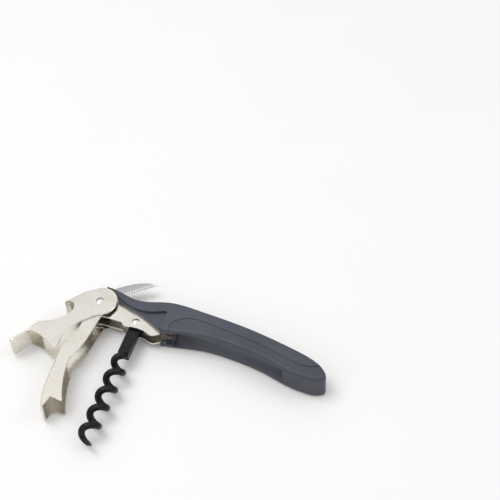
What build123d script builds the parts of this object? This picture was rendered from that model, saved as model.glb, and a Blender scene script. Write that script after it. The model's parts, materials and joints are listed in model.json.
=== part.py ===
"""Double-hinged lever corkscrew, lying open on its side.

The hinge axes are vertical (+Z).  The handle runs along +X from the lever pivot to the butt, and +Y is
its spine side.  Outlines are drawn as if every moving piece were folded into the handle, about its own
pivot; the planes below then turn each piece to its open angle.  The origin is the middle of the footprint.
"""

import os
from math import cos, radians, sin

from build123d import *

# ---- driving dimensions, in millimetres and degrees ----

# place of the lever pivot above the footprint's middle
PIVOT_X = -42.5
PIVOT_Y = 23.36

# open angles, measured from the folded position
FIRST_OPEN = 110.0
SECOND_OPEN = 76.5
WORM_OPEN = 81.0
KNIFE_OPEN = 36.0

# widths across the object, all centred on the middle plane
HANDLE_WIDTH = 13.0
FRAME_GAP = 5.4
FRAME_THICKNESS = 0.9
SHEET = 0.8
EAR_SHEET = 0.75
LAYER_GAP = 0.1
WASHER_THICKNESS = 0.6
SHANK_THICKNESS = 3.3
BLADE_THICKNESS = 1.2

# handle
HANDLE_LENGTH = 112.4
SHELL_END = 37.6
HORN_TIP = -0.8
SEAM_GAP = 0.25
EDGE_ROUND = 1.4
SLOT_END = 30.0
SLOT_ROOF = 7.5
GROOVE_START = 18.8
GROOVE_NECK = 15.8
NECK_HALF_WIDTH = 3.8
POCKET_GAP = 0.45
GROOVE_GAP = 0.45
GROOVE_END_GAP = 4.4
SHANK_SLOT_GAP = 0.45
FRAME_END_GAP = 0.6

# frame inside the handle
FRAME_PINS = ((34.6, 2.6), (34.6, 5.6))
FRAME_PIN_RADIUS = 0.8
SPACER_LENGTH = 5.4
SPACER_HEIGHT = 6.4
SPRING_START = 17.0
SPRING_LEVEL = 0.0
SPRING_THICKNESS = 0.5
SPRING_WIDTH = 4.4

# levers
HEAD_RADIUS = 8.0
EAR_RADIUS = 5.2
FIRST_END = 33.6
FIRST_TAB_END = 43.0
FIRST_WEB_DEPTH = 12.2
TAB_DEPTH = 13.6
JOGGLE = 36.4
FOLD_ROUND = 0.7
TAB_WIDTH = 11.0
TAB_CORNER = 1.5
LEVER_SPACE = 200.0
SECOND_END = 61.8
SECOND_WEB_DEPTH = 11.6

# rivets
RIVET_RADIUS = 1.45
RIVET_HEAD_RADIUS = 1.9
RIVET_HEAD_HEIGHT = 0.5
PIVOT_CLEARANCE = 0.05
WASHER_RADIUS = 3.8
WORM_RIVET_RADIUS = 1.2
WORM_RIVET_HEAD_RADIUS = 1.75

# worm
WORM_X = 20.0
WORM_Y = -3.0
WORM_DROOP = 1.5
SHANK_WIDTH = 5.3
SHANK_LENGTH = 18.2
WORM_PITCH = 9.85
WORM_RADIUS = 4.5
WIRE_RADIUS = 1.6
WORM_TURNS = 5.12
TIP_BEVEL = radians(38)
TIP_INSET = 1.2
SHANK_CHAMFER = 1.0

# knife
KNIFE_LENGTH = 28.0
KNIFE_BACK = 10.7
KNIFE_BOSS_RADIUS = 4.2
KNIFE_SPACER_RADIUS = 3.0
TOOTH_RADIUS = 0.32
TOOTH_PITCH = 0.85
TEETH = 15

# ---- levels and ends worked out from those ----

MIDDLE = HANDLE_WIDTH / 2
GROOVE_END = SHANK_LENGTH + WORM_PITCH * WORM_TURNS + GROOVE_END_GAP
SHANK_SLOT = SHANK_THICKNESS / 2 + SHANK_SLOT_GAP
FRAME_END = SHELL_END - FRAME_END_GAP
BUTT = Vector(HANDLE_LENGTH, 0)
FRAME_INNER = FRAME_GAP / 2
FRAME_OUTER = FRAME_INNER + FRAME_THICKNESS
EAR_INNER = FRAME_OUTER + WASHER_THICKNESS + LAYER_GAP
EAR_OUTER = EAR_INNER + EAR_SHEET
PLATE_INNER = EAR_OUTER + LAYER_GAP
PLATE_OUTER = PLATE_INNER + SHEET
POCKET_FLOOR = PLATE_INNER - LAYER_GAP
WEB_INSET = Vector(0, SHEET / 2)

HANDLE = Plane(origin=(PIVOT_X, PIVOT_Y, MIDDLE))
FIRST = HANDLE.rotated((0, 0, -FIRST_OPEN))
SECOND = HANDLE.rotated((0, 0, -SECOND_OPEN))
KNIFE = HANDLE.rotated((0, 0, KNIFE_OPEN))
WORM_PIVOT = Plane(origin=(PIVOT_X + WORM_X, PIVOT_Y + WORM_Y, MIDDLE))
WORM = WORM_PIVOT.rotated((0, 0, -WORM_OPEN - WORM_DROOP))
WORM_FOLDED = WORM_PIVOT.rotated((0, 0, -WORM_DROOP))
SIDES = (("upper", 1), ("lower", -1))

os.makedirs("parts", exist_ok=True)


def finish(piece, name):
    """Label a finished piece and write it to its own file."""
    piece.part.label = name
    export_step(piece.part, f"parts/{name}.step")


# ---- outlines shared by pieces that nest in each other ----

HEAD = Vector(HEAD_RADIUS, 0)
HEAD_START = HEAD.rotate(Axis.Z, 51.3)
HEAD_FRONT = HEAD.rotate(Axis.Z, 180)
HEAD_END = HEAD.rotate(Axis.Z, 221.4)
WAIST = [Vector(31.2, 5.5), Vector(26.5, 3.1), Vector(18.4, 1.7), Vector(9.6, 3.7), HEAD_START]
WAIST_ENDS = ((-0.9, -0.35), (-0.78, 0.62))

with BuildSketch() as first_side:
    with BuildLine():
        waist = Spline(*WAIST, tangents=WAIST_ENDS)
        head = ThreePointArc(waist @ 1, HEAD_FRONT, HEAD_END)
        front = Line(head @ 1, (1.6, -9.6))
        fold = Line(front @ 1, (11.4, -11.9))
        arch_end = Spline(fold @ 1, (8.9, -8.8), (11.6, -5.5), (17.6, -5.6), (23.4, -8.6),
                          (27.4, -FIRST_WEB_DEPTH))
        heel = Line(arch_end @ 1, (FIRST_END, -FIRST_WEB_DEPTH))
        edge = Spline(heel @ 1, (31.8, -6.0), (31.7, 0.0), (32.0, 4.4))
        Line(edge @ 1, waist @ 0)
    make_face()

with BuildSketch() as seam_side:
    with BuildLine():
        seam = Spline((SHELL_END, -5.0), (SHELL_END + 0.2, 2.6), (41.0, 5.2), (56.0, 6.6),
                      BUTT + (-35.5, 5.1), BUTT + (-19.4, 2.3), BUTT + (-11.4, 1.6), BUTT + (-6.0, 3.2),
                      BUTT + (-2.8, 8.0))
        Polyline(seam @ 1, BUTT + (20, 8), BUTT + (20, -20), (SHELL_END, -20), seam @ 0)
    make_face()

with BuildSketch() as handle_side:
    with BuildLine():
        rim = Spline((HORN_TIP, 9.1), (8.9, 8.1), (15.5, 7.3), (22.0, 8.6), (28.6, 11.1), (45.7, 12.5),
                     (67.4, 11.9), BUTT + (-21.0, 9.1), BUTT + (-8.0, 6.3), BUTT + (-2.8, 3.6),
                     BUTT + (0, -0.9), BUTT + (-2.9, -3.2), BUTT + (-9.0, -4.1), BUTT + (-15.4, -3.8),
                     BUTT + (-29.5, -1.2), (66.0, 0.2), (50.0, -0.9), (42.0, -2.9), (33.2, -4.9),
                     tangents=((1, 0.05), (-0.97, -0.2)))
        Polyline(rim @ 1, (33.2, -14), (HORN_TIP, -14), rim @ 0)
    make_face()

with BuildSketch() as throat_side:
    with BuildLine():
        diagonal = Spline((33.2, -4.9), (20.5, 0.6), (7.6, 3.4))
        throat = ThreePointArc(diagonal @ 1, (5.9, 5.9), (HORN_TIP, 8.3))
        Polyline(throat @ 1, (HORN_TIP - 5, 8.3), (HORN_TIP - 5, -20), (33.2, -20), (33.2, -4.9))
    make_face()

# ---- handle: the spine shell and the grip let into it ----

with BuildSketch() as first_pocket:
    with BuildLine():
        rise = Spline(*[point + Vector(0, POCKET_GAP) for point in WAIST], tangents=WAIST_ENDS)
        Polyline(rise @ 1, (0, 6.4), (0, -20), (33.6, -20), (33.2, -5.0))
        wall = Spline((33.2, -5.0), (32.4, 1.0), rise @ 0 + Vector(1.2, -0.9))
        Line(wall @ 1, rise @ 0)
    make_face()
    Circle(HEAD_RADIUS + POCKET_GAP)

with BuildSketch() as frame_slot:
    with BuildLine():
        Polyline((-12, -20), (-12, 20), (SLOT_END, 20), (SLOT_END, SLOT_ROOF), (SHELL_END, SLOT_ROOF),
                 (SHELL_END, -1.4), (33.8, -4.1), (33.8, -20), (-12, -20))
    make_face()

# ---- what the folded worm needs: a slot for its shank, and a groove with a round roof ----

with BuildPart() as worm_space:
    for first, last, half_width in (
        (WORM_RIVET_RADIUS, GROOVE_NECK + 1, SHANK_SLOT),
        (GROOVE_NECK, GROOVE_START + 1, NECK_HALF_WIDTH),
        (GROOVE_START, GROOVE_END, WORM_RADIUS + GROOVE_GAP),
    ):
        start = WORM_FOLDED.from_local_coords((first, 0, 0))
        with BuildSketch(Plane(start, x_dir=(0, 0, 1), z_dir=WORM_FOLDED.x_dir)):
            if half_width > SHANK_SLOT:
                Circle(half_width)
            else:
                Rectangle(2 * half_width, SHANK_WIDTH + 2 * SHANK_SLOT_GAP)
            Rectangle(2 * half_width, HANDLE_WIDTH, align=(Align.CENTER, Align.MIN))
        extrude(amount=last - first)


with BuildPart() as handle_block:
    with BuildSketch(HANDLE.offset(-MIDDLE)):
        add(handle_side.sketch)
    extrude(amount=HANDLE_WIDTH)
    rims = edges().filter_by(GeomType.BSPLINE)
    fillet(rims, radius=EDGE_ROUND)
    with BuildSketch(HANDLE.offset(-HANDLE_WIDTH)):
        add(throat_side.sketch)
    extrude(amount=2 * HANDLE_WIDTH, mode=Mode.SUBTRACT)

with BuildPart() as handle_body:
    add(handle_block.part)
    with BuildSketch(HANDLE.offset(-HANDLE_WIDTH)):
        add(seam_side.sketch)
    extrude(amount=2 * HANDLE_WIDTH, mode=Mode.SUBTRACT)
    with BuildSketch(HANDLE.offset(-FRAME_OUTER)):
        add(frame_slot.sketch)
    extrude(amount=2 * FRAME_OUTER, mode=Mode.SUBTRACT)
    for side, level in SIDES:
        with BuildSketch(HANDLE.offset(level * POCKET_FLOOR)):
            add(first_pocket.sketch)
        extrude(amount=level * HANDLE_WIDTH, mode=Mode.SUBTRACT)
    add(worm_space.part, mode=Mode.SUBTRACT)
finish(handle_body, "handle_body")

with BuildPart() as grip_insert:
    add(handle_block.part)
    with BuildSketch(HANDLE.offset(-HANDLE_WIDTH)):
        add(seam_side.sketch.moved(Location((SEAM_GAP, -SEAM_GAP))))
    extrude(amount=2 * HANDLE_WIDTH, mode=Mode.INTERSECT)
    add(worm_space.part, mode=Mode.SUBTRACT)
finish(grip_insert, "grip_insert")

# ---- frame: two plates, the block that spaces them and its pins ----

with BuildSketch() as frame_side:
    with BuildLine():
        frame_head = ThreePointArc((0, 6.9), (-6.9, 0), (3.4, -6.0))
        frame_step = Polyline(frame_head @ 1, (13.6, -5.5), (15.4, -6.9), (21.5, -6.3))
        frame_lobe = Spline(frame_step @ 1, (25.6, -6.4), (29.4, -7.3), (32.4, -5.6), (33.4, -3.6),
                            tangents=((1, 0.05), (0.1, 1)))
        Polyline(frame_lobe @ 1, (FRAME_END, -1.0), (FRAME_END, SLOT_ROOF - 0.4), (29.0, SLOT_ROOF - 0.4),
                 (27.0, 6.6), (0, 6.9))
    make_face()

for side, level in SIDES:
    with BuildPart() as frame_plate:
        with BuildSketch(HANDLE.offset(level * FRAME_INNER)):
            add(frame_side.sketch)
            Circle(RIVET_RADIUS, mode=Mode.SUBTRACT)
            with Locations((WORM_X, WORM_Y)):
                Circle(WORM_RIVET_RADIUS, mode=Mode.SUBTRACT)
            with Locations(*FRAME_PINS):
                Circle(FRAME_PIN_RADIUS, mode=Mode.SUBTRACT)
        extrude(amount=level * FRAME_THICKNESS)
    finish(frame_plate, f"frame_plate_{side}")

with BuildPart() as frame_spacer:
    with BuildSketch(HANDLE.offset(-FRAME_INNER)):
        with Locations((FRAME_END, SPRING_LEVEL + SPRING_THICKNESS)):
            RectangleRounded(SPACER_LENGTH, SPACER_HEIGHT, 0.5, align=(Align.MAX, Align.MIN))
        with Locations(*FRAME_PINS):
            Circle(FRAME_PIN_RADIUS, mode=Mode.SUBTRACT)
    extrude(amount=FRAME_GAP)
finish(frame_spacer, "frame_spacer")

with BuildPart() as frame_pins:
    with BuildSketch(HANDLE.offset(-FRAME_OUTER)):
        with Locations(*FRAME_PINS):
            Circle(FRAME_PIN_RADIUS)
    extrude(amount=2 * FRAME_OUTER)
finish(frame_pins, "frame_pins")

with BuildPart() as back_spring:
    with BuildSketch(HANDLE.offset(-SPRING_WIDTH / 2)):
        with BuildLine():
            bend = SPRING_LEVEL + SPRING_THICKNESS
            Polyline((SPRING_START, SPRING_LEVEL), (FRAME_END, SPRING_LEVEL), (FRAME_END, bend),
                     (SPRING_START, bend), (SPRING_START - 2.0, bend + 1.1),
                     (SPRING_START - 2.4, bend + 0.7), (SPRING_START, SPRING_LEVEL))
        make_face()
    extrude(amount=SPRING_WIDTH)
finish(back_spring, "back_spring")

# ---- first lever: a folded channel with a cap-lifter arch and an end tab ----


def fold_edges(block, plane, lines, level):
    """Edges of a block that stand over the middles of these lines, at a height and as far below."""
    middles = [line @ 0.5 for line in lines]
    points = [plane.from_local_coords((m.X, m.Y, side * level)) for m in middles for _, side in SIDES]
    return [block.sort_by_distance(point)[0] for point in points]


with BuildPart() as first_lever:
    with BuildSketch(FIRST.offset(-PLATE_OUTER)):
        add(first_side.sketch)
    extrude(amount=2 * PLATE_OUTER)
    fillet(fold_edges(edges(), FIRST, (fold, heel), PLATE_OUTER), radius=FOLD_ROUND)
    with BuildSketch(FIRST.offset(-PLATE_INNER)):
        Rectangle(LEVER_SPACE, LEVER_SPACE)
        for web in (fold, heel):
            trace(web, line_width=2 * SHEET, mode=Mode.SUBTRACT)
    extrude(amount=2 * PLATE_INNER, mode=Mode.SUBTRACT)
    with BuildSketch(FIRST.offset(-PLATE_OUTER)):
        Circle(RIVET_RADIUS + PIVOT_CLEARANCE)
    extrude(amount=2 * PLATE_OUTER, mode=Mode.SUBTRACT)
    with BuildSketch(FIRST.offset(-TAB_WIDTH / 2)):
        with BuildLine():
            tab_start = Line((heel @ 0.5) + WEB_INSET, (heel @ 1) + WEB_INSET)
            Line(tab_start @ 1, (FIRST_TAB_END, SHEET / 2 - TAB_DEPTH))
        trace(line_width=SHEET)
    extrude(amount=TAB_WIDTH)
    tab_corners = edges().filter_by(lambda edge: abs(edge.length - SHEET) < 0.01)
    fillet(tab_corners.sort_by(Axis(FIRST.origin, FIRST.x_dir))[-2:], radius=TAB_CORNER)
finish(first_lever, "first_lever")

# ---- second lever: ears inside the first lever, joggled out to full width beyond its end ----

with BuildSketch() as wide_side:
    with BuildLine():
        top = Spline((JOGGLE, -5.2), (42.5, -4.9), (50.0, -3.7), (56.6, -1.8))
        notch = Polyline(top @ 1, (56.9, -2.6), (55.6, -7.4), (SECOND_END, -9.8))
        base = Spline(notch @ 1, (52.0, -SECOND_WEB_DEPTH - 0.1), (43.5, -SECOND_WEB_DEPTH + 0.1),
                      (JOGGLE, -11.0))
        Line(base @ 1, top @ 0)
    make_face()

with BuildSketch() as ear_side:
    Circle(EAR_RADIUS)
    with BuildLine():
        ear_top = Spline((1.5, 4.6), (8.5, 2.5), (20.3, -0.2), (33.0, -5.3))
        ear_end = Polyline(ear_top @ 1, (JOGGLE + SHEET, -5.4), (JOGGLE + SHEET, -11.0))
        ear_fold = Line(ear_end @ 1, (29.4, -10.5))
        ear_base = Spline(ear_fold @ 1, (26.0, -9.4), (17.5, -6.0), (8.0, -5.0), (0, -5.1))
        Line(ear_base @ 1, ear_top @ 0)
    make_face()

with BuildPart() as wide_channel:
    with BuildSketch(SECOND.offset(-PLATE_OUTER)):
        add(wide_side.sketch)
    extrude(amount=2 * PLATE_OUTER)
    fillet(fold_edges(edges(), SECOND, (base,), PLATE_OUTER), radius=FOLD_ROUND)
    with BuildSketch(SECOND.offset(-PLATE_INNER)):
        Rectangle(LEVER_SPACE, LEVER_SPACE)
        trace(base, line_width=2 * SHEET, mode=Mode.SUBTRACT)
    extrude(amount=2 * PLATE_INNER, mode=Mode.SUBTRACT)

with BuildPart() as second_lever:
    with BuildSketch(SECOND.offset(-EAR_OUTER)):
        add(ear_side.sketch)
        Circle(RIVET_RADIUS + PIVOT_CLEARANCE, mode=Mode.SUBTRACT)
    extrude(amount=2 * EAR_OUTER)
    with BuildSketch(SECOND.offset(-EAR_INNER)):
        Rectangle(LEVER_SPACE, LEVER_SPACE)
        trace(ear_fold, line_width=2 * SHEET, mode=Mode.SUBTRACT)
    extrude(amount=2 * EAR_INNER, mode=Mode.SUBTRACT)
    for side, level in SIDES:
        with BuildSketch(SECOND.offset(level * EAR_INNER)):
            with Locations(ear_end @ 1):
                Rectangle(SHEET, 5.4, align=(Align.MAX, Align.MIN))
        extrude(amount=level * (PLATE_INNER + SHEET / 2 - EAR_INNER))
    add(wide_channel.part)
finish(second_lever, "second_lever")

# ---- rivets, with a low dome at each end, and the lever's washers ----

RIVETS = (
    ("lever_rivet", HANDLE, RIVET_RADIUS, RIVET_HEAD_RADIUS, PLATE_OUTER + PIVOT_CLEARANCE),
    ("worm_rivet", WORM_PIVOT, WORM_RIVET_RADIUS, WORM_RIVET_HEAD_RADIUS, FRAME_OUTER),
)
for name, pivot, radius, head_radius, grip in RIVETS:
    crown = grip + RIVET_HEAD_HEIGHT
    shoulder = (head_radius / 2, grip + 0.76 * RIVET_HEAD_HEIGHT)
    with BuildPart() as rivet:
        with BuildSketch(Plane(origin=pivot.origin, x_dir=(1, 0, 0), z_dir=(0, -1, 0))):
            with BuildLine():
                Polyline((0, 0), (0, crown))
                ThreePointArc((0, crown), shoulder, (head_radius, grip))
                Polyline((head_radius, grip), (radius, grip), (radius, 0), (0, 0))
            make_face()
            mirror(about=Plane.XZ)
        revolve(axis=Axis(pivot.origin, (0, 0, 1)))
    finish(rivet, name)

for side, level in SIDES:
    with BuildPart() as lever_washer:
        with BuildSketch(HANDLE.offset(level * FRAME_OUTER)):
            Circle(WASHER_RADIUS)
            Circle(RIVET_RADIUS + PIVOT_CLEARANCE, mode=Mode.SUBTRACT)
        extrude(amount=level * WASHER_THICKNESS)
    finish(lever_washer, f"lever_washer_{side}")

# ---- foil knife on the lever rivet ----

with BuildPart() as knife_blade:
    with BuildSketch(KNIFE.offset(-BLADE_THICKNESS / 2)):
        Circle(KNIFE_BOSS_RADIUS)
        with BuildLine():
            back = Spline((-3.4, 2.5), (4.6, 9.2), (12.0, KNIFE_BACK), (20.0, KNIFE_BACK),
                          (KNIFE_LENGTH, 7.9))
            cutting = Line(back @ 1, (11.2, 4.9))
            Line(cutting @ 1, (4.0, -1.2))
            Line((4.0, -1.2), back @ 0)
        make_face()
        Circle(RIVET_RADIUS + PIVOT_CLEARANCE, mode=Mode.SUBTRACT)
        for tooth in range(TEETH):
            with Locations(cutting @ ((tooth + 1.5) * TOOTH_PITCH / cutting.length)):
                Circle(TOOTH_RADIUS, mode=Mode.SUBTRACT)
    extrude(amount=BLADE_THICKNESS)
finish(knife_blade, "knife_blade")

for side, level in SIDES:
    with BuildPart() as knife_spacer:
        with BuildSketch(HANDLE.offset(level * (BLADE_THICKNESS / 2 + PIVOT_CLEARANCE))):
            Circle(KNIFE_SPACER_RADIUS)
            Circle(RIVET_RADIUS + PIVOT_CLEARANCE, mode=Mode.SUBTRACT)
        extrude(amount=level * (FRAME_INNER - BLADE_THICKNESS / 2 - PIVOT_CLEARANCE))
    finish(knife_spacer, f"knife_spacer_{side}")

# ---- worm: flat shank, its rivet and spacers, and the open helix ----

for side, level in SIDES:
    with BuildPart() as worm_spacer:
        with BuildSketch(WORM_PIVOT.offset(level * (SHANK_THICKNESS / 2 + PIVOT_CLEARANCE))):
            Circle(SHANK_WIDTH / 2)
            Circle(WORM_RIVET_RADIUS + PIVOT_CLEARANCE, mode=Mode.SUBTRACT)
        extrude(amount=level * (FRAME_INNER - SHANK_THICKNESS / 2 - PIVOT_CLEARANCE))
    finish(worm_spacer, f"worm_spacer_{side}")

WORM_START = SHANK_LENGTH - WIRE_RADIUS
HELIX_RADIUS = WORM_RADIUS - WIRE_RADIUS
ENTRY_RADIUS = SHANK_WIDTH / 2 - WIRE_RADIUS
WIDENING_TURN = 0.5
STEPS_PER_TURN = 12


def worm_point(turn):
    """Centre of the wire after a number of turns; the first half turn widens out of the shank."""
    widening = min(1.0, turn / WIDENING_TURN)
    radius = ENTRY_RADIUS + (HELIX_RADIUS - ENTRY_RADIUS) * widening * widening * (3 - 2 * widening)
    rim = Vector(0, radius, 0).rotate(Axis.X, 360 * turn)
    return WORM.from_local_coords(rim + Vector(WORM_START + WORM_PITCH * turn, 0, 0))


with BuildPart() as worm_helix:
    with BuildLine():
        steps = round(WORM_TURNS * STEPS_PER_TURN)
        wire = Spline(*[worm_point(WORM_TURNS * step / steps) for step in range(steps + 1)])
    with BuildSketch(Plane(wire @ 0, z_dir=wire % 0)):
        Circle(WIRE_RADIUS)
    sweep(path=wire, is_frenet=True)
    # the point is ground on the worm's inner side, and comes out at the wire's outer edge
    tip = wire @ 1
    inward = (WORM.from_local_coords(Vector(WORM.to_local_coords(tip).X, 0, 0)) - tip).normalized()
    slope = inward * cos(TIP_BEVEL) + (wire % 1) * sin(TIP_BEVEL)
    with BuildSketch(Plane(tip - inward * TIP_INSET, x_dir=WORM.x_dir, z_dir=slope)):
        Rectangle(3 * WIRE_RADIUS, 6 * WIRE_RADIUS)
    extrude(amount=3 * WIRE_RADIUS, mode=Mode.SUBTRACT)
finish(worm_helix, "worm_helix")

with BuildPart() as worm_shank:
    with BuildSketch(WORM.offset(-SHANK_THICKNESS / 2)):
        Circle(SHANK_WIDTH / 2)
        Rectangle(SHANK_LENGTH, SHANK_WIDTH, align=(Align.MIN, Align.CENTER))
        corner = vertices().group_by(Axis((0, 0, 0), (1, 0, 0)))[-1].sort_by(Axis((0, 0, 0), (0, 1, 0)))[0]
        chamfer(corner, length=SHANK_CHAMFER)
        Circle(WORM_RIVET_RADIUS + PIVOT_CLEARANCE, mode=Mode.SUBTRACT)
    extrude(amount=SHANK_THICKNESS)
    add(worm_helix.part, mode=Mode.SUBTRACT)
finish(worm_shank, "worm_shank")
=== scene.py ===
"""Finished looks for a lever corkscrew that lies open on its side.

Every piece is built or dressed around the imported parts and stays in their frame: metres, +Z along the
hinges, +X along the handle.  The handle, rivets, washers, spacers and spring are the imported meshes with
their finishes.  The plates, levers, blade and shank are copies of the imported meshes, whose edges are broken
as far as the shortest edge of each mesh allows.  The worm is a tapered wire that follows its own helix.
"""

import json
import logging
import math
from dataclasses import dataclass
from enum import Enum
from typing import Any, Dict, Optional, Sequence, Tuple, Union

import bmesh
import bpy
from mathutils import Matrix, Vector

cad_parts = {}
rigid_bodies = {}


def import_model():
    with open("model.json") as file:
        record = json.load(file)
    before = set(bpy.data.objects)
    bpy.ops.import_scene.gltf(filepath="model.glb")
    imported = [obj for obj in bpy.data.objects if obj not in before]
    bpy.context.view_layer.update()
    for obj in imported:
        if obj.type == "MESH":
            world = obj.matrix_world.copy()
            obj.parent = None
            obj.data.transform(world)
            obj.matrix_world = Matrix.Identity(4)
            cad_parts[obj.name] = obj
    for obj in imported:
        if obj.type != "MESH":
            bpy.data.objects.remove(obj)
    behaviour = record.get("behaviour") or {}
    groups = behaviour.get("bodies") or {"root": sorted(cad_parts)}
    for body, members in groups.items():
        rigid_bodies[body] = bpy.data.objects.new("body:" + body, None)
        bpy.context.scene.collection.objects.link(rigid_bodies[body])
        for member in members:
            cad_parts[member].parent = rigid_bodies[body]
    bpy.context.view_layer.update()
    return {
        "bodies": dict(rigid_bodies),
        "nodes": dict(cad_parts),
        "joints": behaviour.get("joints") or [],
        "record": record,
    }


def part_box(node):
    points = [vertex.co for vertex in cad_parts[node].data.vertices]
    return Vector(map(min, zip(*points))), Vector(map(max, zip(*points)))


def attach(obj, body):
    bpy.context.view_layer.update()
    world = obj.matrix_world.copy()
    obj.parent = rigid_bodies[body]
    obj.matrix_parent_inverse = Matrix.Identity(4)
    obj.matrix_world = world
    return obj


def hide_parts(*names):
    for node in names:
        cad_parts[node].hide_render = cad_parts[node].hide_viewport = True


LOG = logging.getLogger("corkscrew")
MM = 0.001
UNTURNED = (0.0, 0.0, 0.0)
CAMERA_TARGET = (0.0064, 0.0836, 0.0065)
Colour = Tuple[float, float, float]


class Slot(Enum):
    """Names of the record's material slots for the finished pieces."""

    LEVER = "lever_nickel"
    FRAME = "frame_nickel"
    BLADE = "blade_steel"
    WORM = "worm_coating"


class Body(Enum):
    """The parts that turn as one."""

    HANDLE = "handle"
    FIRST = "first_lever"
    SECOND = "second_lever"
    WORM = "worm"
    KNIFE = "knife"


# ---- shader maths ----


@dataclass(frozen=True)
class Signal:
    """A number that changes over a surface, written like any other number."""

    shader: "Shader"
    socket: bpy.types.NodeSocket

    def maths(self, operation: str, first: Any, second: Any) -> "Signal":
        """Add one Math node.

        Args:
            operation: the node's operation.
            first: its first value or link.
            second: its second value or link.

        Returns:
            The node's result.
        """
        return self.shader.node("ShaderNodeMath", {"operation": operation}, {0: first, 1: second})

    def __add__(self, other: "Number") -> "Signal":
        """Sum."""
        return self.maths("ADD", self, other)

    def __radd__(self, other: float) -> "Signal":
        """Sum with a plain number first."""
        return self.maths("ADD", other, self)

    def __sub__(self, other: "Number") -> "Signal":
        """Difference."""
        return self.maths("SUBTRACT", self, other)

    def __rsub__(self, other: float) -> "Signal":
        """Difference with a plain number first."""
        return self.maths("SUBTRACT", other, self)

    def __mul__(self, other: "Number") -> "Signal":
        """Product."""
        return self.maths("MULTIPLY", self, other)

    def __rmul__(self, other: float) -> "Signal":
        """Product with a plain number first."""
        return self.maths("MULTIPLY", other, self)


Number = Union[Signal, float]


class Shader:
    """One material's nodes."""

    def __init__(self, name: str) -> None:
        """Start an empty material."""
        self.material = bpy.data.materials.new(name)
        self.material.use_nodes = True
        self.tree = self.material.node_tree
        self.tree.nodes.clear()

    def node(
        self,
        kind: str,
        settings: Dict[str, Any],
        inputs: Dict[Union[str, int], Any],
        output: Union[str, int] = 0,
    ) -> Signal:
        """Add any node.

        Args:
            kind: the node's type.
            settings: its properties, or the stops of a ramp.
            inputs: the values or links of its sockets.
            output: the socket that is used.

        Returns:
            That output, as a signal.
        """
        made = self.tree.nodes.new(kind)
        for key, value in settings.items():
            if key == "stops":
                for element, (position, tone) in zip(made.color_ramp.elements, value):
                    element.position = position
                    element.color = (tone, tone, tone, 1)
            else:
                setattr(made, key, value)
        for key, value in inputs.items():
            if isinstance(value, Signal):
                self.tree.links.new(value.socket, made.inputs[key])
            else:
                made.inputs[key].default_value = value
        return Signal(self, made.outputs[output])

    def place(self, stretch: Sequence[float] = (1, 1, 1), turn: Sequence[float] = UNTURNED) -> Signal:
        """Where a point lies on the object.

        Args:
            stretch: how much finer a pattern is along each axis.
            turn: turn of the pattern, in radians.

        Returns:
            The point, for a texture.
        """
        here = self.node("ShaderNodeTexCoord", {}, {}, "Object")
        turned = self.node("ShaderNodeMapping", {}, {"Vector": here, "Rotation": turn})
        return self.node("ShaderNodeMapping", {}, {"Vector": turned, "Scale": stretch})

    def noise(self, grain: float, at: Optional[Signal] = None, detail: float = 3.0) -> Signal:
        """Seeded cloud pattern.

        Args:
            grain: size of one blotch, in metres.
            at: the point that it is read at.
            detail: number of finer layers.

        Returns:
            A value about 0.5.
        """
        inputs = {"Vector": at or self.place(), "Scale": 1 / grain, "Detail": detail, "Roughness": 0.55}
        return self.node("ShaderNodeTexNoise", {}, inputs, 0)

    def ramp(self, value: Signal, low: float, high: float) -> Signal:
        """Smooth step from 0 to 1 between two values."""
        return self.node("ShaderNodeValToRGB", {"stops": ((low, 0.0), (high, 1.0))}, {0: value})

    def mix(self, share: Number, first: Union[Colour, Signal], second: Union[Colour, Signal]) -> Signal:
        """Blend two colours.

        Args:
            share: 0 for the first, 1 for the second.
            first: a colour or its signal.
            second: a colour or its signal.

        Returns:
            The blend.
        """
        ends = [end if isinstance(end, Signal) else (*end, 1.0) for end in (first, second)]
        return self.node("ShaderNodeMix", {"data_type": "RGBA"}, {0: share, 6: ends[0], 7: ends[1]}, 2)

    def attribute(self, name: str) -> Signal:
        """A value stored on the mesh."""
        return self.node("ShaderNodeAttribute", {"attribute_name": name}, {}, "Fac")

    def bump(self, height: Signal, depth: float) -> Signal:
        """Relief of a given depth in metres."""
        return self.node("ShaderNodeBump", {}, {"Height": height, "Distance": depth})

    def surface(self, varying: Dict[str, Any], fixed: Dict[str, float]) -> bpy.types.Material:
        """Close the material.

        Args:
            varying: the shader's sockets that change over the surface.
            fixed: the shader's sockets that don't.

        Returns:
            The finished material.
        """
        shader = self.node("ShaderNodeBsdfPrincipled", {}, {**varying, **fixed})
        self.node_out(shader)
        return self.material

    def node_out(self, shader: Signal) -> None:
        """Send a shader to the material's surface."""
        end = self.tree.nodes.new("ShaderNodeOutputMaterial")
        self.tree.links.new(shader.socket, end.inputs["Surface"])


# ---- finishes ----


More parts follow.
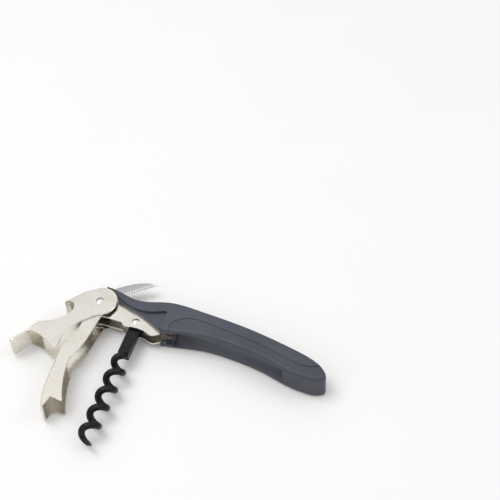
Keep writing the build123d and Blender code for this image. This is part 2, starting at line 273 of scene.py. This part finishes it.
@dataclass(frozen=True)
class SoftTouchPlastic:
    """Moulded handle plastic with a fine matt skin, a little polished by hands."""

    name: str
    colour: Colour = (0.058, 0.064, 0.087)
    worn: Colour = (0.100, 0.107, 0.128)
    sheen: float = 0.40
    skin_grain: float = 0.16 * MM
    skin_depth: float = 0.010 * MM
    fibre_width: float = 1.0 * MM
    speckle_size: float = 0.5 * MM
    cloud_size: float = 9 * MM
    palm_size: float = 22 * MM

    def material(self) -> bpy.types.Material:
        """Make the material."""
        shader = Shader(self.name)
        cloud = shader.noise(self.cloud_size)
        skin = shader.noise(self.skin_grain, detail=2.0)
        speckle = shader.ramp(shader.noise(self.speckle_size), 0.44, 0.62)
        handled = shader.ramp(shader.noise(self.palm_size, detail=1.0), 0.40, 0.70)
        tone = shader.mix(handled * 0.35 + speckle * 0.10, self.colour, self.worn)
        fibre = shader.noise(self.fibre_width, shader.place(stretch=(0.15, 1, 1)))
        relief = shader.bump(skin + fibre * 0.3, self.skin_depth)
        matt = 0.40 + cloud * 0.10 + skin * 0.14 - handled * 0.06
        varying = {"Base Color": tone, "Roughness": matt, "Normal": relief}
        return shader.surface(varying, {"Specular IOR Level": self.sheen})


@dataclass(frozen=True)
class TumbledNickel:
    """Nickel plate over pressed steel: satin, with tumbling dents, fine scratches and warm tarnish."""

    name: str
    bright: Colour = (0.86, 0.835, 0.775)
    tarnish: Colour = (0.62, 0.54, 0.43)
    dent_depth: float = 0.020 * MM
    dent_size: float = 3.2 * MM
    peel_size: float = 0.45 * MM
    stain_size: float = 8 * MM
    scratch_width: float = 0.9 * MM
    scratch_turns: Tuple[float, float] = (0.6, -0.9)
    scratch_stretch: Tuple[float, float, float] = (0.06, 1, 1)

    def material(self) -> bpy.types.Material:
        """Make the material."""
        shader = Shader(self.name)
        dents = shader.noise(self.dent_size, detail=1.5)
        orange_peel = shader.noise(self.peel_size, detail=2.0)
        stain = shader.ramp(shader.noise(self.stain_size, detail=4.0), 0.46, 0.72)
        lines, cross = (
            shader.noise(self.scratch_width, shader.place(self.scratch_stretch, (0, 0, turn)), 5.0)
            for turn in self.scratch_turns
        )
        scratches = shader.ramp(lines, 0.60, 0.68) + shader.ramp(cross, 0.61, 0.69)
        tone = shader.mix(stain * 0.40 + scratches * 0.08, self.bright, self.tarnish)
        satin = 0.15 + stain * 0.10 + orange_peel * 0.10 + scratches * 0.10
        relief = shader.bump(dents + orange_peel * 0.10 - scratches * 0.04, self.dent_depth)
        return shader.surface({"Base Color": tone, "Roughness": satin, "Normal": relief}, {"Metallic": 1.0})


@dataclass(frozen=True)
class NonStickCoating:
    """Black baked coating on the worm, rubbed thin towards the point."""

    name: str
    colour: Colour = (0.008, 0.008, 0.010)
    rubbed: Colour = (0.040, 0.040, 0.043)
    sheen: float = 0.20
    lacquer: float = 0.08
    lacquer_roughness: float = 0.18
    peel_size: float = 0.55 * MM
    peel_depth: float = 0.012 * MM
    rub_size: float = 2.4 * MM

    def material(self) -> bpy.types.Material:
        """Make the material."""
        shader = Shader(self.name)
        peel = shader.noise(self.peel_size, detail=2.0)
        rub = shader.ramp(shader.noise(self.rub_size, detail=5.0), 0.52, 0.68)
        thin = shader.attribute("thin")
        tone = shader.mix(rub * 0.25 + thin * rub * 0.75, self.colour, self.rubbed)
        gloss = 0.24 + peel * 0.12 + rub * 0.12
        relief = shader.bump(peel, self.peel_depth)
        fixed = {
            "Specular IOR Level": self.sheen,
            "Coat Weight": self.lacquer,
            "Coat Roughness": self.lacquer_roughness,
        }
        return shader.surface({"Base Color": tone, "Roughness": gloss, "Normal": relief}, fixed)


@dataclass(frozen=True)
class GroundSteel:
    """Blade steel: brushed flats, and a ground bevel with cross-grinding marks, painted brighter than the
    flats partly for its ground finish and partly as a painted highlight, with near-black dashes of painted
    shade where the serration's notches are.
    """

    name: str
    turn: float
    flat: Colour = (0.50, 0.50, 0.52)
    stained: Colour = (0.36, 0.36, 0.38)
    # partly painted highlight: the ground bevel's colour, far brighter than the flats, stands partly for its
    # ground finish and partly for the light its facet catches
    ground: Colour = (0.86, 0.86, 0.87)
    # painted shade: the near-black colour of the dashes that stand for the shaded notches of the serration
    notch: Colour = (0.07, 0.07, 0.08)
    notch_pitch: float = 1.25 * MM
    brush_width: float = 0.35 * MM
    grind_width: float = 0.30 * MM
    grain_depth: float = 0.008 * MM
    stain_size: float = 5 * MM

    def material(self) -> bpy.types.Material:
        """Make the material."""
        shader = Shader(self.name)
        along = shader.noise(self.brush_width, shader.place((0.03, 1, 1), (0, 0, -self.turn)), 4.0)
        across = shader.noise(self.grind_width, shader.place((1, 0.04, 1), (0, 0, -self.turn)), 3.0)
        bevel = shader.attribute("ground")
        stain = shader.ramp(shader.noise(self.stain_size), 0.48, 0.75)
        grain = along * (1.0 - bevel) + across * bevel
        worn = shader.mix(stain * 0.3 + grain * 0.2, self.flat, self.stained)
        reach = shader.attribute("reach") * (2 * math.pi / self.notch_pitch)
        dashes = shader.ramp(reach.maths("SINE", reach, 0.0), 0.0, 0.35)
        # painted shade: near-black dashes along a thin band by the edge, where the serration's notches are
        notch_shade_dashes = shader.ramp(shader.attribute("notch"), 0.62, 0.80) * dashes
        # partly painted highlight: the ground bevel is mixed to a much brighter colour than the flats; the
        # notch dashes go over it as painted shade
        tone = shader.mix(notch_shade_dashes, shader.mix(bevel, worn, self.ground), self.notch)
        satin = 0.20 + grain * 0.22 + stain * 0.05
        relief = shader.bump(grain, self.grain_depth)
        return shader.surface({"Base Color": tone, "Roughness": satin, "Normal": relief}, {"Metallic": 1.0})


@dataclass(frozen=True)
class BrightSteel:
    """Turned and polished metal with rings about an upright axis."""

    name: str
    axis: Tuple[float, float]
    bright: Colour = (0.86, 0.85, 0.83)
    dull: Colour = (0.55, 0.53, 0.50)
    ring_pitch: float = 1.2 * MM
    nick_size: float = 0.35 * MM
    ring_depth: float = 0.004 * MM

    def material(self) -> bpy.types.Material:
        """Make the material."""
        shader = Shader(self.name)
        here = shader.node("ShaderNodeTexCoord", {}, {}, "Object")
        centred = shader.node("ShaderNodeMapping", {}, {0: here, 1: (-self.axis[0], -self.axis[1], 0.0)})
        inputs = {"Vector": centred, "Scale": 1 / self.ring_pitch, "Distortion": 0.4, "Detail": 2.0}
        rings = shader.node("ShaderNodeTexWave", {"wave_type": "RINGS", "rings_direction": "Z"}, inputs, 1)
        nicks = shader.ramp(shader.noise(self.nick_size, detail=5.0), 0.58, 0.70)
        tone = shader.mix(nicks * 0.5 + rings * 0.1, self.bright, self.dull)
        polish = 0.10 + rings * 0.06 + nicks * 0.18
        relief = shader.bump(rings - nicks, self.ring_depth)
        return shader.surface({"Base Color": tone, "Roughness": polish, "Normal": relief}, {"Metallic": 1.0})


@dataclass(frozen=True)
class SpringSteel:
    """Rolled strip, straw-brown from tempering."""

    name: str
    colour: Colour = (0.42, 0.38, 0.33)
    blued: Colour = (0.22, 0.23, 0.30)
    roll_width: float = 0.4 * MM
    roll_depth: float = 0.006 * MM
    temper_size: float = 7 * MM

    def material(self) -> bpy.types.Material:
        """Make the material."""
        shader = Shader(self.name)
        rolled = shader.noise(self.roll_width, shader.place((0.04, 1, 1)), 4.0)
        temper = shader.ramp(shader.noise(self.temper_size), 0.40, 0.65)
        tone = shader.mix(temper * 0.7 + rolled * 0.2, self.colour, self.blued)
        satin = 0.24 + rolled * 0.2
        relief = shader.bump(rolled, self.roll_depth)
        return shader.surface({"Base Color": tone, "Roughness": satin, "Normal": relief}, {"Metallic": 1.0})


@dataclass(frozen=True)
class BlackNylon:
    """Moulded washers and spacers, dull black with a fine grain."""

    name: str
    colour: Colour = (0.030, 0.030, 0.033)
    chalked: Colour = (0.085, 0.085, 0.090)
    grain_size: float = 0.12 * MM
    grain_depth: float = 0.010 * MM
    chalk_size: float = 1.6 * MM

    def material(self) -> bpy.types.Material:
        """Make the material."""
        shader = Shader(self.name)
        grain = shader.noise(self.grain_size, detail=2.0)
        chalk = shader.ramp(shader.noise(self.chalk_size, detail=5.0), 0.50, 0.75)
        tone = shader.mix(chalk * 0.5, self.colour, self.chalked)
        matt = 0.42 + grain * 0.2
        relief = shader.bump(grain, self.grain_depth)
        return shader.surface({"Base Color": tone, "Roughness": matt, "Normal": relief}, {})


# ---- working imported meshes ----


class Bench:
    """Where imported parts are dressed, copied and given worked edges."""

    weld_gap: float = 0.001 * MM
    flat_angle: float = math.radians(0.4)
    sharp_angle: float = math.radians(38)

    def __init__(self, frame: Dict[str, Any]) -> None:
        """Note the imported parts, the body that each is on, and where each hinge stands."""
        self.nodes = frame["nodes"]
        self.homes = {n: b for b, names in frame["record"]["behaviour"]["bodies"].items() for n in names}
        self.pivots = {joint["name"]: Vector(joint["pos_m"]) for joint in frame["joints"]}

    def dress(self, node: str, material: bpy.types.Material) -> None:
        """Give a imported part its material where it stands."""
        packed = self.nodes[node]
        for place in packed.material_slots:
            place.link = "DATA"
            place.material = material
        LOG.info("dressed %s", node)

    def merged_copy(self, node: str) -> bmesh.types.BMesh:
        """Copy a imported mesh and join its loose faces.

        Args:
            node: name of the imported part.

        Returns:
            The copy, with flat areas as single faces.
        """
        work = bmesh.new()
        work.from_mesh(self.nodes[node].data)
        bmesh.ops.remove_doubles(work, verts=work.verts, dist=self.weld_gap)
        bmesh.ops.dissolve_limit(
            work, angle_limit=self.flat_angle, verts=work.verts, edges=work.edges, delimit=set()
        )
        return work

    def piece(
        self,
        name: str,
        mesh: bpy.types.Mesh,
        material: bpy.types.Material,
        slot: Slot,
        body: Body,
        stands_for: Sequence[str],
    ) -> bpy.types.Object:
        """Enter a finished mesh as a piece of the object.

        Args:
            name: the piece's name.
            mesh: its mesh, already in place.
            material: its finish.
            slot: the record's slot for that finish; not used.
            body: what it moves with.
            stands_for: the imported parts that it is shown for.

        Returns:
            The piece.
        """
        made = bpy.data.objects.new(name, mesh)
        bpy.context.scene.collection.objects.link(made)
        mesh.materials.clear()
        mesh.materials.append(material)
        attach(made, body.value)
        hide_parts(*stands_for)
        levels = [vertex.co.z / MM for vertex in mesh.vertices]
        report = "built %s, %d faces, from %.2f to %.2f mm"
        LOG.info(report, name, len(mesh.polygons), min(levels), max(levels))
        return made

    def worked(
        self, node: str, work: bmesh.types.BMesh, edge: float, material: bpy.types.Material, slot: Slot
    ) -> bpy.types.Object:
        """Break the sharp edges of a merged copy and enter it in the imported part's place.

        The bevel is clamped, so one short edge anywhere in a mesh holds it back everywhere: it reaches a few
        hundredths of a millimetre on the frame plates and next to nothing on the other copies.

        Args:
            node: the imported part.
            work: its merged copy.
            edge: greatest width of the broken edge.
            material: its finish.
            slot: the record's slot.

        Returns:
            The piece.
        """
        rough = bpy.data.meshes.new(f"{node}_rough")
        work.to_mesh(rough)
        work.free()
        holder = bpy.data.objects.new(f"{node}_holder", rough)
        bpy.context.scene.collection.objects.link(holder)
        bevel = holder.modifiers.new("edges", "BEVEL")
        bevel.width = edge
        bevel.segments = 2
        bevel.limit_method = "ANGLE"
        bevel.angle_limit = self.sharp_angle
        bevel.use_clamp_overlap = True
        bevel.harden_normals = False
        weight = holder.modifiers.new("normals", "WEIGHTED_NORMAL")
        weight.keep_sharp = True
        for face in rough.polygons:
            face.use_smooth = True
        mesh = bpy.data.meshes.new_from_object(holder.evaluated_get(bpy.context.evaluated_depsgraph_get()))
        bpy.data.objects.remove(holder)
        body = Body(self.homes[node])
        return self.piece(f"{node}_finished", mesh, material, slot, body, (node,))


# ---- sub-assemblies ----


@dataclass
class Handle:
    """The moulded shell and the grip let into it."""

    bench: Bench

    def build(self) -> None:
        """Dress the shell and the grip."""
        self.bench.dress("handle_body", SoftTouchPlastic("soft_touch_shell").material())
        grip = SoftTouchPlastic("soft_touch_grip", (0.052, 0.058, 0.080), (0.092, 0.099, 0.120))
        self.bench.dress("grip_insert", grip.material())


@dataclass
class FramePlates:
    """The two plates between the levers, with what spaces and holds them."""

    bench: Bench
    broken_edge: float = 0.08 * MM

    def build(self) -> None:
        """Build the plates and dress what is between them."""
        nickel = TumbledNickel("frame_nickel").material()
        nylon = BlackNylon("black_nylon").material()
        for side in ("upper", "lower"):
            node = f"frame_plate_{side}"
            self.bench.worked(node, self.bench.merged_copy(node), self.broken_edge, nickel, Slot.FRAME)
            for name in ("lever_washer", "knife_spacer", "worm_spacer"):
                self.bench.dress(f"{name}_{side}", nylon)
        self.bench.dress("frame_spacer", nylon)
        self.bench.dress("back_spring", SpringSteel("tempered_strip").material())


@dataclass
class Rivets:
    """The two hinge rivets and the frame's pins."""

    bench: Bench

    def build(self) -> None:
        """Dress each rivet with rings about its own axis."""
        for node in ("lever_rivet", "worm_rivet", "frame_pins"):
            low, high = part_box(node)
            middle = (low + high) / 2
            self.bench.dress(node, BrightSteel(f"{node}_steel", (middle.x, middle.y)).material())


@dataclass
class Levers:
    """The two nested levers, pressed from nickel-plated sheet."""

    bench: Bench
    broken_edge: float = 0.10 * MM

    def build(self) -> None:
        """Build both levers."""
        nickel = TumbledNickel("lever_nickel").material()
        for node in ("first_lever", "second_lever"):
            self.bench.worked(node, self.bench.merged_copy(node), self.broken_edge, nickel, Slot.LEVER)


@dataclass
class Knife:
    """The foil knife with its ground and serrated edge."""

    bench: Bench
    open_angle: float = math.radians(36.0)
    edge_heel: Tuple[float, float] = (11.2 * MM, 4.9 * MM)
    edge_tip: Tuple[float, float] = (28.0 * MM, 7.9 * MM)
    bevel_width: float = 1.7 * MM
    edge_share: float = 0.12
    notch_from: float = 0.12 * MM
    notch_to: float = 0.50 * MM
    heel_reach: float = -2.0 * MM
    broken_edge: float = 0.05 * MM

    def build(self) -> None:
        """Grind the blade's bevel, mark it for its finish, its partly painted highlight and the painted shade
        of its notches, and build it.
        """
        pivot = self.bench.pivots["knife_fold"]
        turn = Matrix.Rotation(self.open_angle, 4, "Z")
        heel = pivot + turn @ Vector((*self.edge_heel, 0.0))
        tip = pivot + turn @ Vector((*self.edge_tip, 0.0))
        along = (tip - heel).normalized()
        inwards = Vector((-along.y, along.x, 0.0))
        work = self.bench.merged_copy("knife_blade")
        everything = work.verts[:] + work.edges[:] + work.faces[:]
        bevel_line = heel + inwards * self.bevel_width
        bmesh.ops.bisect_plane(work, geom=everything, plane_co=bevel_line, plane_no=inwards)
        bmesh.ops.triangulate(work, faces=[face for face in work.faces if len(face.verts) > 4])
        # marks the ground bevel, which carries its grinding marks and its partly painted highlight
        ground = work.verts.layers.float.new("ground")
        # marks the thin band by the edge that takes the notches' painted shade
        notch = work.verts.layers.float.new("notch")
        along_edge = work.verts.layers.float.new("reach")
        for vertex in work.verts:
            depth = (vertex.co - heel).dot(inwards)
            reach = (vertex.co - heel).dot(along)
            share = min(1.0, max(0.0, depth / self.bevel_width))
            vertex[along_edge] = reach
            if share < 1.0 and reach > self.heel_reach:
                thin = self.edge_share + (1.0 - self.edge_share) * share
                vertex.co.z = pivot.z + (vertex.co.z - pivot.z) * thin
                vertex[ground] = 1.0 if share < 0.98 else 0.0
                vertex[notch] = 1.0 if self.notch_from < depth < self.notch_to else 0.0
        steel = GroundSteel("blade_steel", self.open_angle).material()
        self.bench.worked("knife_blade", work, self.broken_edge, steel, Slot.BLADE)


@dataclass
class Worm:
    """The flat shank and the coated wire that winds out of it."""

    bench: Bench
    open_angle: float = math.radians(-82.5)
    start: float = 16.6 * MM
    pitch: float = 9.85 * MM
    turns: float = 5.12
    coil_radius: float = 2.9 * MM
    entry_radius: float = 1.05 * MM
    wire_radius: float = 1.6 * MM
    tip_share: float = 0.10
    taper_from: float = 0.86
    points: int = 360
    sides: int = 28
    broken_edge: float = 0.30 * MM

    def build(self) -> None:
        """Build the shank and the wire."""
        coating = NonStickCoating("non_stick_black").material()
        shank = self.bench.merged_copy("worm_shank")
        self.bench.worked("worm_shank", shank, self.broken_edge, coating, Slot.WORM)
        self.bench.piece("worm_wire", self.wire(coating), coating, Slot.WORM, Body.WORM, ("worm_helix",))

    def wire(self, coating: bpy.types.Material) -> bpy.types.Mesh:
        """Wind the wire.

        Args:
            coating: its finish.

        Returns:
            The wire's mesh, in place.
        """
        tree = HelixTree(self.points, self.sides, coating)
        pivot = self.bench.pivots["worm_fold"]
        sizes = {
            "Start": self.start,
            "Pitch": self.pitch,
            "Turns": self.turns,
            "Coil Radius": self.coil_radius,
            "Entry Radius": self.entry_radius,
            "Wire Radius": self.wire_radius,
            "Tip Share": self.tip_share,
            "Taper From": self.taper_from,
            "Pivot": tuple(pivot),
            "Turn": (0.0, 0.0, self.open_angle),
        }
        return tree.shape("worm_wire_holder", sizes)


class HelixTree:
    """Geometry Nodes that wind a tapered wire about an axis."""

    lengths: Tuple[str, ...] = (
        "Start", "Pitch", "Turns", "Coil Radius", "Entry Radius", "Wire Radius", "Tip Share", "Taper From"
    )
    widening_turn: float = 0.5
    taper_power: float = 1.5

    def __init__(self, points: int, sides: int, material: bpy.types.Material) -> None:
        """Build the node tree.

        Args:
            points: points along the wire.
            sides: sides of its section.
            material: its finish.
        """
        self.tree = bpy.data.node_groups.new("tapered_helix", "GeometryNodeTree")
        self.face = self.tree.interface
        self.face.new_socket("Geometry", in_out="OUTPUT", socket_type="NodeSocketGeometry")
        self.start = self.tree.nodes.new("NodeGroupInput")
        self.sockets: Dict[str, str] = {}
        for name in self.lengths:
            self.ask(name, "NodeSocketFloat")
        for name in ("Pivot", "Turn"):
            self.ask(name, "NodeSocketVector")
        share = self.add("GeometryNodeSplineParameter", {}, {}).outputs["Factor"]
        turns = self.maths("MULTIPLY", share, self.given("Turns"))
        angle = self.maths("MULTIPLY", turns, 2 * math.pi)
        entry = self.add(
            "ShaderNodeMapRange", {"interpolation_type": "SMOOTHSTEP"},
            {
                0: turns, 1: 0.0, 2: self.widening_turn,
                3: self.given("Entry Radius"), 4: self.given("Coil Radius"),
            },
        ).outputs[0]
        advance = self.maths("MULTIPLY", turns, self.given("Pitch"))
        place = self.add(
            "ShaderNodeCombineXYZ", {},
            {
                0: self.maths("ADD", self.given("Start"), advance),
                1: self.maths("MULTIPLY", entry, self.maths("COSINE", angle, 0.0)),
                2: self.maths("MULTIPLY", entry, self.maths("SINE", angle, 0.0)),
            },
        ).outputs[0]
        run = self.add(
            "ShaderNodeMapRange", {}, {0: share, 1: self.given("Taper From"), 2: 1.0, 3: 0.0, 4: 1.0}
        ).outputs[0]
        slimming = self.maths("POWER", run, self.taper_power)
        lost = self.maths("MULTIPLY", slimming, self.maths("SUBTRACT", 1.0, self.given("Tip Share")))
        thin = self.maths("SUBTRACT", 1.0, lost)
        line = self.add("GeometryNodeCurvePrimitiveLine", {}, {}).outputs[0]
        even = self.add("GeometryNodeResampleCurve", {}, {"Curve": line, "Count": points}).outputs[0]
        wound = self.add("GeometryNodeSetPosition", {}, {"Geometry": even, "Position": place}).outputs[0]
        marked = self.add(
            "GeometryNodeStoreNamedAttribute", {"data_type": "FLOAT", "domain": "POINT"},
            {"Geometry": wound, "Name": "thin", "Value": run},
        ).outputs[0]
        radius = self.maths("MULTIPLY", thin, self.given("Wire Radius"))
        section = {"Resolution": sides, "Radius": 1.0}
        ring = self.add("GeometryNodeCurvePrimitiveCircle", {}, section).outputs[0]
        tube = self.add(
            "GeometryNodeCurveToMesh", {},
            {"Curve": marked, "Profile Curve": ring, "Fill Caps": True, "Scale": radius},
        ).outputs[0]
        smooth = self.add("GeometryNodeSetShadeSmooth", {}, {"Geometry": tube}).outputs[0]
        placed = self.add(
            "GeometryNodeTransform", {},
            {"Geometry": smooth, "Translation": self.given("Pivot"), "Rotation": self.given("Turn")},
        ).outputs[0]
        real = self.add("GeometryNodeRealizeInstances", {}, {"Geometry": placed}).outputs[0]
        finish = {"Geometry": real, "Material": material}
        dressed = self.add("GeometryNodeSetMaterial", {}, finish).outputs[0]
        end = self.tree.nodes.new("NodeGroupOutput")
        self.tree.links.new(dressed, end.inputs[0])

    def ask(self, name: str, kind: str) -> None:
        """Add a named input."""
        socket = self.face.new_socket(name, in_out="INPUT", socket_type=kind)
        self.sockets[name] = socket.identifier

    def given(self, name: str) -> bpy.types.NodeSocket:
        """A named input, for use in the tree."""
        return self.start.outputs[name]

    def add(self, kind: str, settings: Dict[str, Any], inputs: Dict[Union[str, int], Any]) -> bpy.types.Node:
        """Add one node.

        Args:
            kind: the node's type.
            settings: its properties.
            inputs: the values or links of its sockets.

        Returns:
            The node.
        """
        made = self.tree.nodes.new(kind)
        for key, value in settings.items():
            setattr(made, key, value)
        for key, value in inputs.items():
            if isinstance(value, bpy.types.NodeSocket):
                self.tree.links.new(value, made.inputs[key])
            else:
                made.inputs[key].default_value = value
        return made

    def maths(self, operation: str, first: Any, second: Any) -> bpy.types.NodeSocket:
        """Add one Math node and give its result."""
        return self.add("ShaderNodeMath", {"operation": operation}, {0: first, 1: second}).outputs[0]

    def shape(self, name: str, sizes: Dict[str, Any]) -> bpy.types.Mesh:
        """Run the tree.

        Args:
            name: name of the object that holds it meanwhile.
            sizes: a value for each named input.

        Returns:
            The result, as a plain mesh.
        """
        holder = bpy.data.objects.new(name, bpy.data.meshes.new(name))
        bpy.context.scene.collection.objects.link(holder)
        modifier = holder.modifiers.new("helix", "NODES")
        modifier.node_group = self.tree
        for key, value in sizes.items():
            modifier[self.sockets[key]] = value
        mesh = bpy.data.meshes.new_from_object(holder.evaluated_get(bpy.context.evaluated_depsgraph_get()))
        holder.modifiers.remove(modifier)
        bpy.data.objects.remove(holder)
        return mesh


# ---- studio ----


@dataclass(frozen=True)
class SoftBox:
    """A square lamp that faces the object."""

    name: str
    place: Tuple[float, float, float]
    size: float
    watts: float
    tint: Colour


SOFT_BOXES = (
    SoftBox("key", (-0.45, -0.05, 1.0), 0.60, 4.0, (1.0, 0.99, 0.97)),
    SoftBox("fill", (0.80, 0.40, 0.80), 0.60, 1.5, (0.97, 0.98, 1.0)),
    SoftBox("front", (-0.35, -0.80, 0.45), 0.30, 0.5, (1.0, 0.98, 0.95)),
)


@dataclass
class Studio:
    """Pale table, soft lights and the camera."""

    look_at: Vector
    azimuth: float = math.radians(26.3)
    elevation: float = math.radians(47.8)
    roll: float = math.radians(-2.9)
    distance: float = 0.600
    lens: float = 89.2
    sensor: float = 36.0
    floor_size: float = 6.0
    floor_pale: Colour = (0.90, 0.90, 0.90)
    floor_white: Colour = (0.92, 0.92, 0.92)
    floor_cloud: float = 60 * MM
    room_dim: Colour = (0.13, 0.098, 0.075)
    room_dim_height: float = 0.05
    room_bright_height: float = 0.75
    room_strength: float = 0.88

    def build(self) -> None:
        """Set up the whole studio."""
        self.floor()
        self.world()
        for box in SOFT_BOXES:
            self.light(box)
        self.camera()
        bpy.context.scene.view_settings.view_transform = "Standard"

    def floor(self) -> None:
        """Lay the pale table top."""
        bpy.ops.mesh.primitive_plane_add(size=self.floor_size, location=(0, 0, 0))
        floor = bpy.context.object
        floor.name = "table_top"
        shader = Shader("white_table")
        cloud = shader.noise(self.floor_cloud)
        tone = shader.mix(cloud, self.floor_pale, self.floor_white)
        varying = {"Base Color": tone, "Roughness": 0.55 + cloud * 0.1}
        material = shader.surface(varying, {"Specular IOR Level": 0.3})
        floor.data.materials.append(material)

    def world(self) -> None:
        """Light the room: bright above, brown and dim low down behind the table."""
        world = bpy.data.worlds.new("room")
        bpy.context.scene.world = world
        world.use_nodes = True
        nodes, links = world.node_tree.nodes, world.node_tree.links
        back = nodes["Background"]
        place = nodes.new("ShaderNodeTexCoord")
        split = nodes.new("ShaderNodeSeparateXYZ")
        ramp = nodes.new("ShaderNodeValToRGB")
        dim, bright = ramp.color_ramp.elements
        dim.position = self.room_dim_height
        dim.color = (*self.room_dim, 1.0)
        bright.position = self.room_bright_height
        bright.color = (1.0, 1.0, 1.0, 1.0)
        links.new(place.outputs["Generated"], split.inputs[0])
        links.new(split.outputs["Z"], ramp.inputs[0])
        links.new(ramp.outputs[0], back.inputs["Color"])
        back.inputs["Strength"].default_value = self.room_strength

    def light(self, box: SoftBox) -> None:
        """Hang one soft box that faces the object.

        Args:
            box: the lamp.
        """
        data = bpy.data.lights.new(box.name, "AREA")
        data.size = box.size
        data.energy = box.watts
        data.color = box.tint
        lamp = bpy.data.objects.new(box.name, data)
        lamp.location = box.place
        lamp.rotation_mode = "QUATERNION"
        lamp.rotation_quaternion = Vector(box.place).to_track_quat("Z", "Y")
        bpy.context.scene.collection.objects.link(lamp)

    def camera(self) -> None:
        """Set the camera over the front of the object."""
        data = bpy.data.cameras.new("camera")
        data.lens = self.lens
        data.sensor_width = self.sensor
        camera = bpy.data.objects.new("camera", data)
        bpy.context.scene.collection.objects.link(camera)
        level = math.cos(self.elevation)
        round_x, round_y = math.sin(self.azimuth) * level, -math.cos(self.azimuth) * level
        back = Vector((round_x, round_y, math.sin(self.elevation)))
        camera.location = self.look_at + back * self.distance
        camera.rotation_mode = "QUATERNION"
        upright = (-back).to_track_quat("-Z", "Y")
        camera.rotation_quaternion = upright @ Matrix.Rotation(self.roll, 3, "Z").to_quaternion()
        bpy.context.scene.camera = camera


def main() -> None:
    """Build every sub-assembly in order, then the studio."""
    logging.basicConfig(level=logging.INFO, format="%(name)s: %(message)s")
    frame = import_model()
    bench = Bench(frame)
    for assembly in (Handle, FramePlates, Rivets, Levers, Knife, Worm):
        assembly(bench).build()
    Studio(look_at=Vector(CAMERA_TARGET)).build()


if __name__ == "__main__":
    main()
